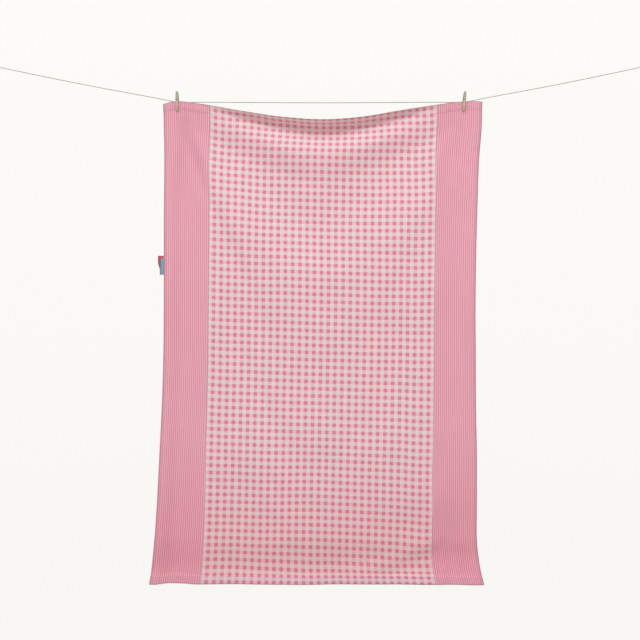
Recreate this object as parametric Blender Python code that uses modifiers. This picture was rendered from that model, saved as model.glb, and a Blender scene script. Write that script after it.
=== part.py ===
"""A gingham tablecloth pegged on a clothesline.

Sizes are in metres. +Z is up and the cloth's face looks along -Y. The origin is the
far end of the left loop, where a hook holds the line.
"""

import math
from collections import namedtuple

import bmesh
import bpy
import numpy as np
from mathutils import Matrix, Vector

# The line
LINE_THICK = 0.003
LINE_SPAN = 2.576  # from the far end of one loop to the far end of the other
LINE_LOW = -0.149  # height of the line where the pegs grip it
LINE_SIDES = 2  # bevel resolution
LINE_POINTS = 64

LOOP_LONG = 0.036
LOOP_WIDE = 0.024
LOOP_ENDS = 0.0036  # between its two ends, in the knot
LOOP_POINTS = 28
KNOT_LONG = 0.016
KNOT_THICK = 0.0095

# The cloth
CLOTH_WIDE = 1.20
CLOTH_LONG = 1.80
CLOTH_THICK = 0.002
HEM_THICK = 0.0032
HEM_TALL = 0.030
CLOTH_MID = 1.288  # its centre line along X
HALF_WIDE = CLOTH_WIDE / 2
STEEPEST = 0.93  # a fold's largest sine, so that no row of the grid folds over
GAP = 0.0003  # between pieces that touch

# How finely the cloth is drawn
COLUMNS = 36  # between the pegs
OUTER_COLUMNS = 2  # beyond each peg
ROW_STEPS = (  # from, to, step down the cloth
    (0.0, HEM_TALL, 0.015),
    (HEM_TALL + 0.0015, 0.2, 0.0165),
    (0.21, 1.68, 0.040),
    (1.69, CLOTH_LONG - HEM_TALL - 0.0015, 0.0155),
    (CLOTH_LONG - HEM_TALL, CLOTH_LONG, 0.015),
)
FINE_STEP = 0.004  # step of the sums down and across the cloth
EVEN_ROWS = 11  # fine rows each way over which its breadth is evened out

# The top hem, from left to right: place along X from the centre line, and how far its
# edge hangs below the line's height at the pegs
TopEdge = namedtuple("TopEdge", "across drop")
TOP_EDGE = (
    TopEdge(-0.584, 0.0055),
    TopEdge(-0.555, -0.0005),
    TopEdge(-0.531, -0.0026),
    TopEdge(-0.447, 0.0060),
    TopEdge(-0.300, 0.0330),
    TopEdge(-0.149, 0.0580),
    TopEdge(0.019, 0.0695),
    TopEdge(0.149, 0.0598),
    TopEdge(0.298, 0.0330),
    TopEdge(0.436, 0.0096),
    TopEdge(0.536, -0.0026),
    TopEdge(0.604, -0.0034),
)

# The lower hem, from left to right: place from the centre line, and its edge's height
BottomEdge = namedtuple("BottomEdge", "across height")
BOTTOM_EDGE = (
    BottomEdge(-0.631, -1.9440),
    BottomEdge(-0.400, -1.9455),
    BottomEdge(0.000, -1.9458),
    BottomEdge(0.250, -1.9445),
    BottomEdge(0.420, -1.9430),
    BottomEdge(0.602, -1.9470),
)

# The side edges, from the top down: where each lies from the centre line
SideEdges = namedtuple("SideEdges", "down left right")
SIDE_EDGES = (
    SideEdges(0.00, 0.584, 0.604),
    SideEdges(0.10, 0.582, 0.602),
    SideEdges(0.19, 0.580, 0.594),
    SideEdges(0.38, 0.579, 0.584),
    SideEdges(0.76, 0.576, 0.573),
    SideEdges(0.95, 0.578, 0.574),
    SideEdges(1.14, 0.584, 0.575),
    SideEdges(1.33, 0.594, 0.579),
    SideEdges(1.52, 0.606, 0.582),
    SideEdges(1.64, 0.616, 0.584),
    SideEdges(1.72, 0.625, 0.592),
    SideEdges(1.80, 0.631, 0.602),
)

# The folds. Each runs across the cloth as a swag: mid is how far down the cloth it lies
# at the centre line, and rise_left and rise_right how much higher it is at the side
# edges, along a power curve given by bend. half is half the fold's breadth, square to
# it. left and right are how far the cloth comes forward there on each side, or goes
# back where they are negative. The rest say how strong the fold is on the way to a side
# edge, which is at 1: its share at the centre line, where it is whole (grown), where
# it starts to fade and where it is gone.
Fold = namedtuple(
    "Fold", "name mid rise_left rise_right bend half left right centre grown fades gone"
)
FOLDS = (
    Fold("hem roll", 0.028, 0.080, 0.080, 1.5, 0.043, -0.072, -0.072, 1.0, 0.1, 0.45, 1.00),
    Fold("belly", 0.130, 0.143, 0.143, 1.16, 0.056, 0.048, 0.048, 1.0, 0.1, 0.20, 0.92),
    Fold("belly back", 0.270, 0.290, 0.290, 1.22, 0.060, -0.024, -0.024, 0.8, 0.3, 0.75, 0.95),
    Fold("swag front", 0.560, 0.620, 0.600, 1.5, 0.140, 0.036, 0.034, 0.9, 0.3, 0.70, 0.95),
    Fold("left pleat", 1.140, 1.237, 0.000, 1.12, 0.028, -0.016, 0.000, 0.2, 0.5, 0.90, 1.05),
    Fold("right pleat", 0.900, 0.000, 1.100, 2.0, 0.026, 0.000, -0.009, 0.2, 0.5, 0.90, 1.05),
    Fold("ridge back", 1.315, 1.450, 1.450, 1.7, 0.045, -0.008, -0.005, 1.0, 0.3, 0.45, 0.70),
    Fold("ridge", 1.430, 1.350, 1.350, 1.7, 0.070, 0.008, 0.006, 1.0, 0.3, 0.50, 0.80),
    Fold("left crease", 1.700, 0.880, 0.880, 1.33, 0.045, -0.005, 0.000, 0.0, 0.2, 0.55, 0.80),
    Fold("right crease", 1.765, 0.400, 0.400, 1.5, 0.035, 0.000, 0.010, 0.0, 0.5, 0.75, 0.95),
    Fold("side lean", 0.420, 0.000, 0.000, 2.0, 0.380, 0.034, 0.034, 0.0, 0.9, 1.20, 1.40),
    Fold("lean back", 1.450, 0.000, 0.000, 2.0, 0.260, -0.022, -0.030, 1.0, 0.1, 1.20, 1.40),
    Fold("hem dip", 1.680, 0.000, 0.000, 2.0, 0.070, -0.018, -0.024, 1.0, 0.1, 1.20, 1.40),
    Fold("hem kick", 1.784, 0.000, 0.000, 2.0, 0.034, 0.018, 0.018, 1.0, 0.1, 1.20, 1.40),
)
TOP_FORWARD = 0.024  # how far the top edge leans forward between the pegs
BLUNT = 0.10  # rounds each swag's lowest point
PLATEAU = 0.35  # share of a fold's half width over which it is at its steepest
CURL_TOP = 0.008  # how far the side edges curl back near the pegs
CURL_LOW = 0.004  # and further down

# The pegs: where each grips, along X from the centre line, and its lean in degrees
PegPlace = namedtuple("PegPlace", "name across lean")
PEGS = (PegPlace("left_peg", -0.5311, -1.0), PegPlace("right_peg", 0.536, 4.6))
PEG_WIDE = 0.010
FLAT_WIDE = 0.018  # the cloth's flat place in a peg's jaw
FLAT_FADE = 0.035
PEG_LONG = 0.072
PEG_GRIP = 0.034  # from the jaw's tip up to the line
COIL_HIGH = 0.0455  # from the jaw's tip up to the spring's coil
COIL_ROOM = 0.0041  # radius of the hollow that holds the coil
LINE_ROOM = 0.0030  # radius of the notch for the line
WOOD_THICK = 0.008
WIRE_THICK = 0.0014
COIL_RADIUS = 0.0028
COIL_TURNS = 3
COIL_STEPS = 10  # points a turn
CLOTH_Y = -(LINE_THICK / 2 + GAP + HEM_THICK / 2)  # the pegs' middle plane too

# The side label: two ribbons sewn behind the left edge
RIBBON_THICK = 0.001
# slant is how much higher a ribbon's top is by the cloth than at its outer end
Ribbon = namedtuple("Ribbon", "name down tall reach taper slant behind")
RIBBONS = (
    Ribbon("red_ribbon", 0.5705, 0.058, 0.022, 0.016, 0.000, 2),
    Ribbon("blue_ribbon", 0.5875, 0.054, 0.015, 0.000, 0.014, 1),
)
RIBBON_TUCK = 0.012  # how far a ribbon runs in behind the cloth
RIBBON_ROWS = 6
RIBBON_SQUARE = 0.5  # share of its height before it tapers

PINK_CLOTH = (0.78, 0.36, 0.43, 1)
RED = (0.48, 0.10, 0.12, 1)
BLUE = (0.16, 0.30, 0.42, 1)
WOOD = (0.62, 0.47, 0.33, 1)
STEEL = (0.55, 0.55, 0.53, 1)
CORD = (0.62, 0.61, 0.57, 1)


def clear_scene():
    for obj in list(bpy.data.objects):
        bpy.data.objects.remove(obj, do_unlink=True)


def material(name, colour, roughness, metallic=0.0):
    made = bpy.data.materials.new(name)
    made.use_nodes = True
    shader = made.node_tree.nodes["Principled BSDF"]
    shader.inputs["Base Color"].default_value = colour
    shader.inputs["Roughness"].default_value = roughness
    shader.inputs["Metallic"].default_value = metallic
    return made


def place(name, data, collection, finish):
    obj = bpy.data.objects.new(name, data)
    data.materials.append(finish)
    collection.objects.link(obj)
    return obj


def through(known, values, wanted):
    """A smooth curve through the rows of a table, read at the wanted places."""
    known, values = np.asarray(known), np.asarray(values)
    slopes = np.gradient(values, known)
    i = np.clip(np.searchsorted(known, wanted) - 1, 0, len(known) - 2)
    span = known[i + 1] - known[i]
    t = np.clip((wanted - known[i]) / span, 0, 1)
    start, end = 2 * t**3 - 3 * t**2 + 1, 3 * t**2 - 2 * t**3
    leave, arrive = t**3 - 2 * t**2 + t, t**3 - t**2
    return (
        start * values[i]
        + leave * span * slopes[i]
        + end * values[i + 1]
        + arrive * span * slopes[i + 1]
    )


def ramp(low, high, value):
    t = np.clip((value - low) / (high - low), 0, 1)
    return t * t * (3 - 2 * t)


def fold_slope(fold, across, down):
    """How steeply one fold leans, as a sine, at each place on the cloth."""
    side = ramp(-0.15, 0.15, across)
    rise = fold.rise_left + (fold.rise_right - fold.rise_left) * side
    step = fold.left + (fold.right - fold.left) * side
    out = np.abs(across)
    strength = fold.centre + (1 - fold.centre) * ramp(0.0, fold.grown, out)
    strength = strength * (1 - ramp(fold.fades, fold.gone, out))
    middle = fold.mid - rise * (out**2 + BLUNT**2) ** (fold.bend / 2)
    fall = rise * fold.bend * out ** (fold.bend - 1) / HALF_WIDE
    half = fold.half * np.sqrt(1 + fall**2)
    bump = 1 - ramp(PLATEAU, 1.0, np.abs(down - middle) / half)
    return step * strength * bump / (half * (1 + PLATEAU))


def held_flat(across, down):
    """Nought where a peg grips the cloth, rising to 1 around it."""
    share = np.ones_like(across)
    for peg in PEGS:
        edge = SIDE_EDGES[0].left if peg.across < 0 else SIDE_EDGES[0].right
        beside = np.maximum(np.abs(across * edge - peg.across) - FLAT_WIDE / 2, 0)
        below = np.maximum(down - PEG_GRIP - 0.004, 0)
        share = share * ramp(0.0, FLAT_FADE, np.hypot(beside, below))
    return share


def edge_curl(across, down):
    """How far the side edges curl back."""
    depth = CURL_TOP + (CURL_LOW - CURL_TOP) * ramp(0.2, 0.5, down)
    return 2 * depth * ramp(0.95, 1.05, np.abs(across))


def evened(values, reach):
    """The mean over so many rows above and below each row."""
    padded = np.pad(values, ((reach + 1, reach), (0, 0)), mode="edge")
    total = np.cumsum(padded, axis=0)
    return (total[2 * reach + 1:] - total[:-2 * reach - 1]) / (2 * reach + 1)


def running_sum(values, step, axis):
    """The sum of the values so far, starting from nought."""
    middles = (np.take(values, range(1, values.shape[axis]), axis)
               + np.take(values, range(values.shape[axis] - 1), axis)) / 2
    total = np.cumsum(middles * step, axis=axis)
    pad = [(0, 0), (0, 0)]
    pad[axis] = (1, 0)
    return np.pad(total, pad)


def cloth_surface(across, down):
    """The cloth's middle surface: X, Y and Z for each row down and column across.

    across runs from -1 at the left edge to 1 at the right, and down in metres from
    the top hem's edge. The folds' slopes are summed down each column, so that the cloth
    keeps its length, and then across each row, so that it keeps its width.
    """
    fine_down = np.linspace(0, CLOTH_LONG, round(CLOTH_LONG / FINE_STEP) + 1)
    fine_across = np.linspace(-1, 1, round(CLOTH_WIDE / FINE_STEP) + 1)
    s, v = np.meshgrid(fine_across, fine_down)
    slope = sum(fold_slope(fold, s, v) for fold in FOLDS) * held_flat(s, v)
    slope = np.clip(slope, -STEEPEST, STEEPEST)
    lean = 1 - ramp(0.0, 0.86, np.abs(fine_across))
    forward = -CLOTH_Y + TOP_FORWARD * lean + running_sum(slope, FINE_STEP, 0)
    forward = forward - edge_curl(s, v)

    left = through([r.down for r in SIDE_EDGES], [r.left for r in SIDE_EDGES], fine_down)
    right = through([r.down for r in SIDE_EDGES], [r.right for r in SIDE_EDGES], fine_down)
    sideways = np.gradient(forward, FINE_STEP, axis=1)
    run = running_sum(np.sqrt(np.clip(1 - sideways**2, 0.2, 1)), FINE_STEP, 1)
    share = evened(run / run[:, -1:], EVEN_ROWS)
    x = -left[:, None] + share * (left + right)[:, None]

    top = LINE_LOW - through(
        [r.across for r in TOP_EDGE], [r.drop for r in TOP_EDGE], x[0]
    )
    z = top - running_sum(np.sqrt(1 - slope**2), FINE_STEP, 0)
    bottom = through(
        [r.across for r in BOTTOM_EDGE], [r.height for r in BOTTOM_EDGE], x[-1]
    )
    spare = bottom - z[-1]
    z = z + spare * (fine_down / CLOTH_LONG)[:, None]

    row = np.searchsorted(fine_down, np.asarray(down) - FINE_STEP / 2)
    column = np.searchsorted(fine_across, np.asarray(across) - FINE_STEP / 2)
    row = np.clip(row, 0, len(fine_down) - 1)
    column = np.clip(column, 0, len(fine_across) - 1)
    pick = np.ix_(row, column)
    return x[pick] + CLOTH_MID, -forward[pick], z[pick]


def rows_down():
    rows = []
    for start, stop, step in ROW_STEPS:
        rows.extend(np.linspace(start, stop, max(2, round((stop - start) / step) + 1)))
    return np.array(rows)


def columns_across():
    half = FLAT_WIDE / 2 - 0.001
    left = [(PEGS[0].across + way * half) / SIDE_EDGES[0].left for way in (-1, 1)]
    right = [(PEGS[1].across + way * half) / SIDE_EDGES[0].right for way in (-1, 1)]
    parts = (
        np.array([-1, -1 + RIBBON_TUCK / HALF_WIDE]),
        np.linspace(-1, left[0], OUTER_COLUMNS + 1)[1:],
        np.linspace(left[1], right[0], COLUMNS + 1),
        np.linspace(right[1], 1, OUTER_COLUMNS + 1),
    )
    return np.concatenate(parts)


def make_tablecloth(collection):
    down = rows_down()
    across = columns_across()
    x, y, z = cloth_surface(across, down)
    mesh = bpy.data.meshes.new("tablecloth")
    wide = len(across)
    points = np.stack([x, y, z], axis=-1).reshape(-1, 3)
    faces = [
        (r * wide + c, (r + 1) * wide + c, (r + 1) * wide + c + 1, r * wide + c + 1)
        for r in range(len(down) - 1)
        for c in range(wide - 1)
    ]
    mesh.from_pydata(points.tolist(), [], faces)
    cloth = place("tablecloth", mesh, collection, material("pink cotton", PINK_CLOTH, 0.9))
    group = cloth.vertex_groups.new(name="thick")
    for r, at in enumerate(down):
        hem = at <= HEM_TALL + FINE_STEP / 4 or at >= CLOTH_LONG - HEM_TALL - FINE_STEP / 4
        weight = 1.0 if hem else CLOTH_THICK / HEM_THICK
        group.add(list(range(r * wide, (r + 1) * wide)), weight, "REPLACE")
    shell = cloth.modifiers.new("thickness", "SOLIDIFY")
    shell.thickness = HEM_THICK
    shell.offset = 0
    shell.vertex_group = "thick"
    return cloth


def make_ribbon(ribbon, collection, finish):
    """A folded ribbon, sewn behind the cloth's left edge: square on top, tapered below."""
    fall = np.linspace(0, 1, RIBBON_ROWS + 1)
    down = ribbon.down + ribbon.tall * fall
    edges = np.array([-1.0, -1 + RIBBON_TUCK / HALF_WIDE])
    x, y, z = cloth_surface(edges, down)
    near_x, near_y, near_z = cloth_surface(edges, down - ribbon.slant * (1 - fall))
    behind = CLOTH_THICK / 2 + ribbon.behind * (RIBBON_THICK + GAP) - RIBBON_THICK / 2
    points = []
    for row in range(RIBBON_ROWS + 1):
        foot = max(0.0, row / RIBBON_ROWS - RIBBON_SQUARE) / (1 - RIBBON_SQUARE)
        outer = x[row, 0] - ribbon.reach + ribbon.taper * foot
        points.append((outer, y[row, 0] + behind, z[row, 0]))
        for edge in (0, 1):
            points.append((near_x[row, edge], near_y[row, edge] + behind, near_z[row, edge]))
    faces = [
        (r * 3 + c, r * 3 + 3 + c, r * 3 + 4 + c, r * 3 + 1 + c)
        for r in range(RIBBON_ROWS)
        for c in range(2)
    ]
    mesh = bpy.data.meshes.new(ribbon.name)
    mesh.from_pydata(points, [], faces)
    obj = place(ribbon.name, mesh, collection, finish)
    shell = obj.modifiers.new("thickness", "SOLIDIFY")
    shell.thickness = RIBBON_THICK
    shell.offset = 0
    return obj


def arc(centre_y, centre_z, radius, start, stop, steps):
    return [
        (
            centre_y + radius * math.cos(math.radians(start + (stop - start) * i / steps)),
            centre_z + radius * math.sin(math.radians(start + (stop - start) * i / steps)),
        )
        for i in range(steps + 1)
    ]


def prong_outline(jaw, notched):
    """One prong from the side: how far out from the peg's middle plane, and how high.

    jaw is how far out the prong's inner face lies along the jaw. notched adds the
    hollow for the line.
    """
    out = jaw + WOOD_THICK
    low = math.degrees(math.acos((jaw) / COIL_ROOM))
    points = [(jaw, 0.001), (jaw, PEG_GRIP - 0.009)]
    if notched:
        centre = -CLOTH_Y  # the line's own centre, seen from the middle plane
        half = math.degrees(math.acos((centre - jaw) / LINE_ROOM))
        points += arc(centre, PEG_GRIP, LINE_ROOM, half - 180, 180 - half, 12)
    points += arc(0, COIL_HIGH, COIL_ROOM, -low, low - 22, 8)
    points += [
        (GAP, COIL_HIGH + COIL_ROOM + 0.002),
        (GAP, COIL_HIGH + COIL_ROOM + 0.004),
        (0.0055, PEG_LONG - 0.001),
        (0.0065, PEG_LONG),
        (0.0105, PEG_LONG),
        (0.0118, PEG_LONG - 0.002),
        (out, COIL_HIGH + 0.004),
        (out, COIL_HIGH - 0.0015),
        (out - 0.001, COIL_HIGH - 0.0022),
        (out - 0.001, COIL_HIGH - 0.0042),
        (out, COIL_HIGH - 0.005),
        (out, 0.014),
        (jaw + 0.0035, 0.0),
        (jaw + 0.001, 0.0),
    ]
    return points


def peg_frame(peg):
    """Where a peg's jaw tip stands, turned by its lean about the line."""
    grip = Vector((CLOTH_MID + peg.across, CLOTH_Y, LINE_LOW))
    turn = Matrix.Rotation(math.radians(peg.lean), 4, "Y")
    return Matrix.Translation(grip) @ turn @ Matrix.Translation((0, 0, -PEG_GRIP))


def make_prong(peg, name, facing, collection, finish):
    """A wooden prong, cut from a board: its side outline, as thick as the peg is wide."""
    jaw = HEM_THICK / 2 + GAP
    curve = bpy.data.curves.new(name, "CURVE")
    curve.dimensions = "2D"
    curve.fill_mode = "BOTH"
    curve.extrude = PEG_WIDE / 2
    spline = curve.splines.new("POLY")
    outline = prong_outline(jaw, notched=facing > 0)
    spline.points.add(len(outline) - 1)
    for point, (out, up) in zip(spline.points, outline):
        point.co = (facing * out, up, 0, 1)
    spline.use_cyclic_u = True
    obj = place(name, curve, collection, finish)
    stand = Matrix(((0, 0, 1, 0), (1, 0, 0, 0), (0, 1, 0, 0), (0, 0, 0, 1)))
    obj.matrix_world = peg_frame(peg) @ stand
    return obj


def spring_path():
    """The wire, from its end on the front prong, round the coil, to the back prong."""
    beside = PEG_WIDE / 2 + GAP + WIRE_THICK / 2
    face = HEM_THICK / 2 + GAP + WOOD_THICK - 0.001 + GAP + WIRE_THICK / 2
    bridge = COIL_HIGH - 0.0032
    half = COIL_TURNS * (WIRE_THICK + GAP) / 2
    turns = COIL_TURNS * 360
    count = COIL_TURNS * COIL_STEPS
    coil = []
    for i in range(count + 1):
        turn = math.radians(-90 + turns * i / count)
        coil.append(
            (
                -half + 2 * half * i / count,
                COIL_RADIUS * math.cos(turn),
                COIL_HIGH + COIL_RADIUS * math.sin(turn),
            )
        )
    low = COIL_HIGH - COIL_RADIUS
    front = [
        (beside - 0.002, -face, bridge),
        (0.0, -face, bridge),
        (-beside + 0.0012, -face, bridge),
        (-beside, -face + 0.0014, bridge),
        (-beside, -face / 2, (bridge + low) / 2),
        (-beside, -0.0018, low),
        (-beside + 0.0010, -0.0004, low),
    ]
    back = [(-px, -py, pz) for px, py, pz in reversed(front)]
    return front + coil + back


def make_spring(peg, name, collection, finish):
    path = spring_path()
    curve = bpy.data.curves.new(name, "CURVE")
    curve.dimensions = "3D"
    curve.bevel_depth = WIRE_THICK / 2
    curve.bevel_resolution = 1
    curve.use_fill_caps = True
    spline = curve.splines.new("POLY")
    spline.points.add(len(path) - 1)
    for point, co in zip(spline.points, path):
        point.co = (*co, 1)
    obj = place(name, curve, collection, finish)
    obj.matrix_world = peg_frame(peg)
    return obj


def line_ends():
    """The knots' outer ends, and the line's direction there, away from the loop."""
    left_peg = CLOTH_MID + PEGS[0].across
    right_peg = CLOTH_MID + PEGS[1].across
    falls = Vector((left_peg, 0, LINE_LOW)).normalized()
    rises = Vector((right_peg - LINE_SPAN, 0, LINE_LOW)).normalized()
    return falls, rises


def line_route():
    """The line's own points, from knot to knot: it dips at the pegs."""
    falls, rises = line_ends()
    tied = LOOP_LONG + KNOT_LONG + GAP
    start = falls * tied
    end = Vector((LINE_SPAN, 0, 0)) + rises * tied
    left_peg = Vector((CLOTH_MID + PEGS[0].across, 0, LINE_LOW))
    right_peg = Vector((CLOTH_MID + PEGS[1].across, 0, LINE_LOW))
    middle = (left_peg + right_peg) / 2
    sag = Vector((0, 0, -0.003))
    hang = Vector((0, 0, -0.002))
    return [
        start,
        start.lerp(left_peg, 0.5) + sag,
        start.lerp(left_peg, 0.94),
        left_peg,
        left_peg.lerp(right_peg, 0.05),
        middle + hang,
        left_peg.lerp(right_peg, 0.95),
        right_peg,
        right_peg.lerp(end, 0.06),
        right_peg.lerp(end, 0.5) + sag,
        end,
    ]


def make_line(collection, finish):
    route = np.array(line_route())
    along = np.concatenate(
        [[0], np.cumsum(np.linalg.norm(np.diff(route, axis=0), axis=1))]
    )
    wanted = np.linspace(0, along[-1], LINE_POINTS)
    points = np.stack([through(along, route[:, i], wanted) for i in range(3)], axis=1)
    curve = bpy.data.curves.new("line", "CURVE")
    curve.dimensions = "3D"
    curve.bevel_depth = LINE_THICK / 2
    curve.bevel_resolution = LINE_SIDES
    curve.use_fill_caps = True
    spline = curve.splines.new("POLY")
    spline.points.add(LINE_POINTS - 1)
    for point, co in zip(spline.points, points):
        point.co = (*co, 1)
    return place("line", curve, collection, finish)


def loop_path():
    """A loop of line from its knot round and back: along it, and up."""
    points = []
    for i in range(LOOP_POINTS + 1):
        turn = math.pi * (2 * i / LOOP_POINTS - 1)
        along = LOOP_LONG / 2 * (1 - math.cos(turn))
        up = LOOP_WIDE / 2 * math.sin(turn) * abs(math.cos(turn / 2)) ** 0.5
        points.append((along, up + LOOP_ENDS / 2 * math.sin(turn / 2)))
    inside = LOOP_LONG + KNOT_LONG / 3
    return [(inside, -LOOP_ENDS / 2)] + points + [(inside, LOOP_ENDS / 2)]


def make_loop(name, corner, way, collection, finish):
    """The loop in the line's end, tied off with a knot."""
    curve = bpy.data.curves.new(name, "CURVE")
    curve.dimensions = "3D"
    curve.bevel_depth = LINE_THICK / 2
    curve.bevel_resolution = LINE_SIDES
    curve.use_fill_caps = True
    path = loop_path()
    spline = curve.splines.new("POLY")
    spline.points.add(len(path) - 1)
    for point, (along, up) in zip(spline.points, path):
        point.co = (along, 0, up, 1)
    tube = bpy.data.objects.new(name + "_tube", curve)
    bpy.context.scene.collection.objects.link(tube)
    graph = bpy.context.evaluated_depsgraph_get()
    mesh = bpy.data.meshes.new_from_object(tube.evaluated_get(graph))
    bpy.data.objects.remove(tube)
    clean = bmesh.new()
    clean.from_mesh(mesh)
    bmesh.ops.remove_doubles(clean, verts=clean.verts, dist=0.00001)
    clean.to_mesh(mesh)
    clean.free()
    mesh.name = name
    obj = place(name, mesh, collection, finish)

    knot = bpy.data.meshes.new(name + "_knot")
    ball = bmesh.new()
    bmesh.ops.create_uvsphere(ball, u_segments=16, v_segments=10, radius=0.5)
    bmesh.ops.rotate(ball, verts=ball.verts, matrix=Matrix.Rotation(math.pi / 2, 3, "Y"))
    bmesh.ops.scale(ball, verts=ball.verts, vec=(KNOT_LONG, KNOT_THICK, KNOT_THICK))
    centre = LOOP_LONG + KNOT_LONG / 2
    bmesh.ops.translate(ball, verts=ball.verts, vec=(centre, 0, 0))
    ball.to_mesh(knot)
    ball.free()
    cutter = bpy.data.objects.new(name + "_knot", knot)
    helpers().objects.link(cutter)
    cutter.hide_render = True
    cutter.display_type = "WIRE"
    union = obj.modifiers.new("knot", "BOOLEAN")
    union.operation = "UNION"
    union.object = cutter

    turn = Vector((1, 0, 0)).rotation_difference(way).to_matrix().to_4x4()
    if way.x < 0:
        turn = Matrix.Rotation(math.atan2(way.z, -way.x), 4, "Y") @ Matrix.Rotation(
            math.pi, 4, "Z"
        )
    for piece in (obj, cutter):
        piece.matrix_world = Matrix.Translation(corner) @ turn
    return obj


def helpers():
    found = bpy.data.collections.get("cutters")
    if found is None:
        found = bpy.data.collections.new("cutters")
        bpy.context.scene.collection.children.link(found)
    return found


def main():
    clear_scene()
    collection = bpy.data.collections.new("tablecloth on a clothesline")
    bpy.context.scene.collection.children.link(collection)

    make_tablecloth(collection)
    ribbon_finishes = (material("red ribbon", RED, 0.6), material("blue ribbon", BLUE, 0.6))
    for ribbon, finish in zip(RIBBONS, ribbon_finishes):
        make_ribbon(ribbon, collection, finish)

    wood = material("beech", WOOD, 0.7)
    steel = material("galvanised wire", STEEL, 0.4, 1.0)
    for peg in PEGS:
        make_prong(peg, peg.name + "_front", -1, collection, wood)
        make_prong(peg, peg.name + "_back", 1, collection, wood)
        make_spring(peg, peg.name + "_spring", collection, steel)

    cord = material("twisted cord", CORD, 0.8)
    make_line(collection, cord)
    falls, rises = line_ends()
    make_loop("left_loop", Vector((0, 0, 0)), falls, collection, cord)
    make_loop("right_loop", Vector((LINE_SPAN, 0, 0)), rises, collection, cord)


main()
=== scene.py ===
import math

import bmesh
import bpy
import numpy as np
from mathutils import Matrix, Vector


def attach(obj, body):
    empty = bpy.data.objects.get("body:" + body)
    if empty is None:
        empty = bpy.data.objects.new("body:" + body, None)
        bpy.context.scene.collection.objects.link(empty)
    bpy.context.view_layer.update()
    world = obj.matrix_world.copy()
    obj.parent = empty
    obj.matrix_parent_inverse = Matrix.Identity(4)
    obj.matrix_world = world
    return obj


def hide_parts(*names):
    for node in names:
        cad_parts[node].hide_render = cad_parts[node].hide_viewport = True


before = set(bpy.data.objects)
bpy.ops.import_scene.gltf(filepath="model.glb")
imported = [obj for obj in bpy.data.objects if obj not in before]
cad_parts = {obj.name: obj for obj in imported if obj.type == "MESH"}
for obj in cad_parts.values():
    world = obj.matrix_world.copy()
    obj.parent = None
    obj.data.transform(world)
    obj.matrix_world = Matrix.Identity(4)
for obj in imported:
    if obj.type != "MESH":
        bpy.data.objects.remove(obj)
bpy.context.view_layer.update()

# All lengths are in metres. X runs along the line, the cloth's face looks along -Y.

gap = 0.0003  # between pieces that touch
clothMid = 1.288  # the cloth's centre line along X
lineLow = -0.149  # the line's height at the pegs


def linearColour(code):
    # an sRGB hex value as linear red, green, blue and alpha
    parts = [int(code[i:i + 2], 16) / 255 for i in (1, 3, 5)]
    return [p / 12.92 if p <= 0.04045 else ((p + 0.055) / 1.055) ** 2.4 for p in parts] + [1.0]


def addNode(tree, kind, links=None, **settings):
    # one node with its settings, and its inputs from other nodes, their sockets or plain values
    node = tree.nodes.new(kind)
    for name, value in settings.items():
        setattr(node, name, value)
    for name, source in (links or {}).items():
        if isinstance(source, bpy.types.Node):
            source = source.outputs[0]
        if isinstance(source, bpy.types.NodeSocket):
            tree.links.new(source, node.inputs[name])
        else:
            node.inputs[name].default_value = source
    return node


def newMaterial(name, baseColour, roughness, **sockets):
    made = bpy.data.materials.new(name)
    made.use_nodes = True
    shader = made.node_tree.nodes["Principled BSDF"]
    shader.inputs["Base Color"].default_value = linearColour(baseColour)
    shader.inputs["Roughness"].default_value = roughness
    for socket, value in sockets.items():
        shader.inputs[socket.replace("_", " ")].default_value = value
    return made, made.node_tree


def endMaterial(made, colour, layers, relief=None):
    # lays each colour over the last by its share, and adds a fine relief where there is one
    tree = made.node_tree
    shader = tree.nodes["Principled BSDF"]
    colour = linearColour(colour) if isinstance(colour, str) else colour
    for share, other, *blend in layers:
        other = linearColour(other) if isinstance(other, str) else other
        mixed = addNode(tree, "ShaderNodeMix", {0: share, 6: colour, 7: other}, data_type="RGBA",
                        blend_type=blend[0] if blend else "MIX")
        colour = mixed.outputs[2]
    tree.links.new(colour, shader.inputs["Base Color"])
    if relief:
        height, strength, distance = relief
        bump = addNode(tree, "ShaderNodeBump",
                       {"Height": height, "Strength": strength, "Distance": distance})
        tree.links.new(bump.outputs[0], shader.inputs["Normal"])
    return made


def newTree(name, **sizes):
    # an empty Geometry Nodes tree with its named inputs
    tree = bpy.data.node_groups.new(name, "GeometryNodeTree")
    for way in ("INPUT", "OUTPUT"):
        tree.interface.new_socket("Geometry", in_out=way, socket_type="NodeSocketGeometry")
    for size, value in sizes.items():
        kind = "NodeSocketInt" if isinstance(value, int) else "NodeSocketFloat"
        tree.interface.new_socket(size, in_out="INPUT", socket_type=kind).default_value = value
    return tree, addNode(tree, "NodeGroupInput").outputs


def endTree(tree, shape, material):
    plain = addNode(tree, "GeometryNodeRealizeInstances", {"Geometry": shape})
    dressed = addNode(tree, "GeometryNodeSetMaterial", {"Geometry": plain, "Material": material})
    addNode(tree, "NodeGroupOutput", {"Geometry": dressed})
    return tree


def newPiece(name, data):
    piece = bpy.data.objects.new(name, data)
    bpy.context.scene.collection.objects.link(piece)
    return piece


def gridPiece(name, points):
    # a piece of quads over rows and columns of points, and its corners by row and by quad
    rows, columns = points.shape[:2]
    corners = np.arange(rows * columns).reshape(rows, columns)
    quads = np.stack([corners[:-1, :-1], corners[1:, :-1], corners[1:, 1:], corners[:-1, 1:]], axis=-1)
    quads = quads.reshape(-1, 4)
    mesh = bpy.data.meshes.new(name)
    mesh.from_pydata(points.reshape(-1, 3).tolist(), [], quads.tolist())
    return newPiece(name, mesh), corners, quads


def addModifier(piece, name, kind, **settings):
    modifier = piece.modifiers.new(name, kind)
    for setting, value in settings.items():
        setattr(modifier, setting, value)


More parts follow.
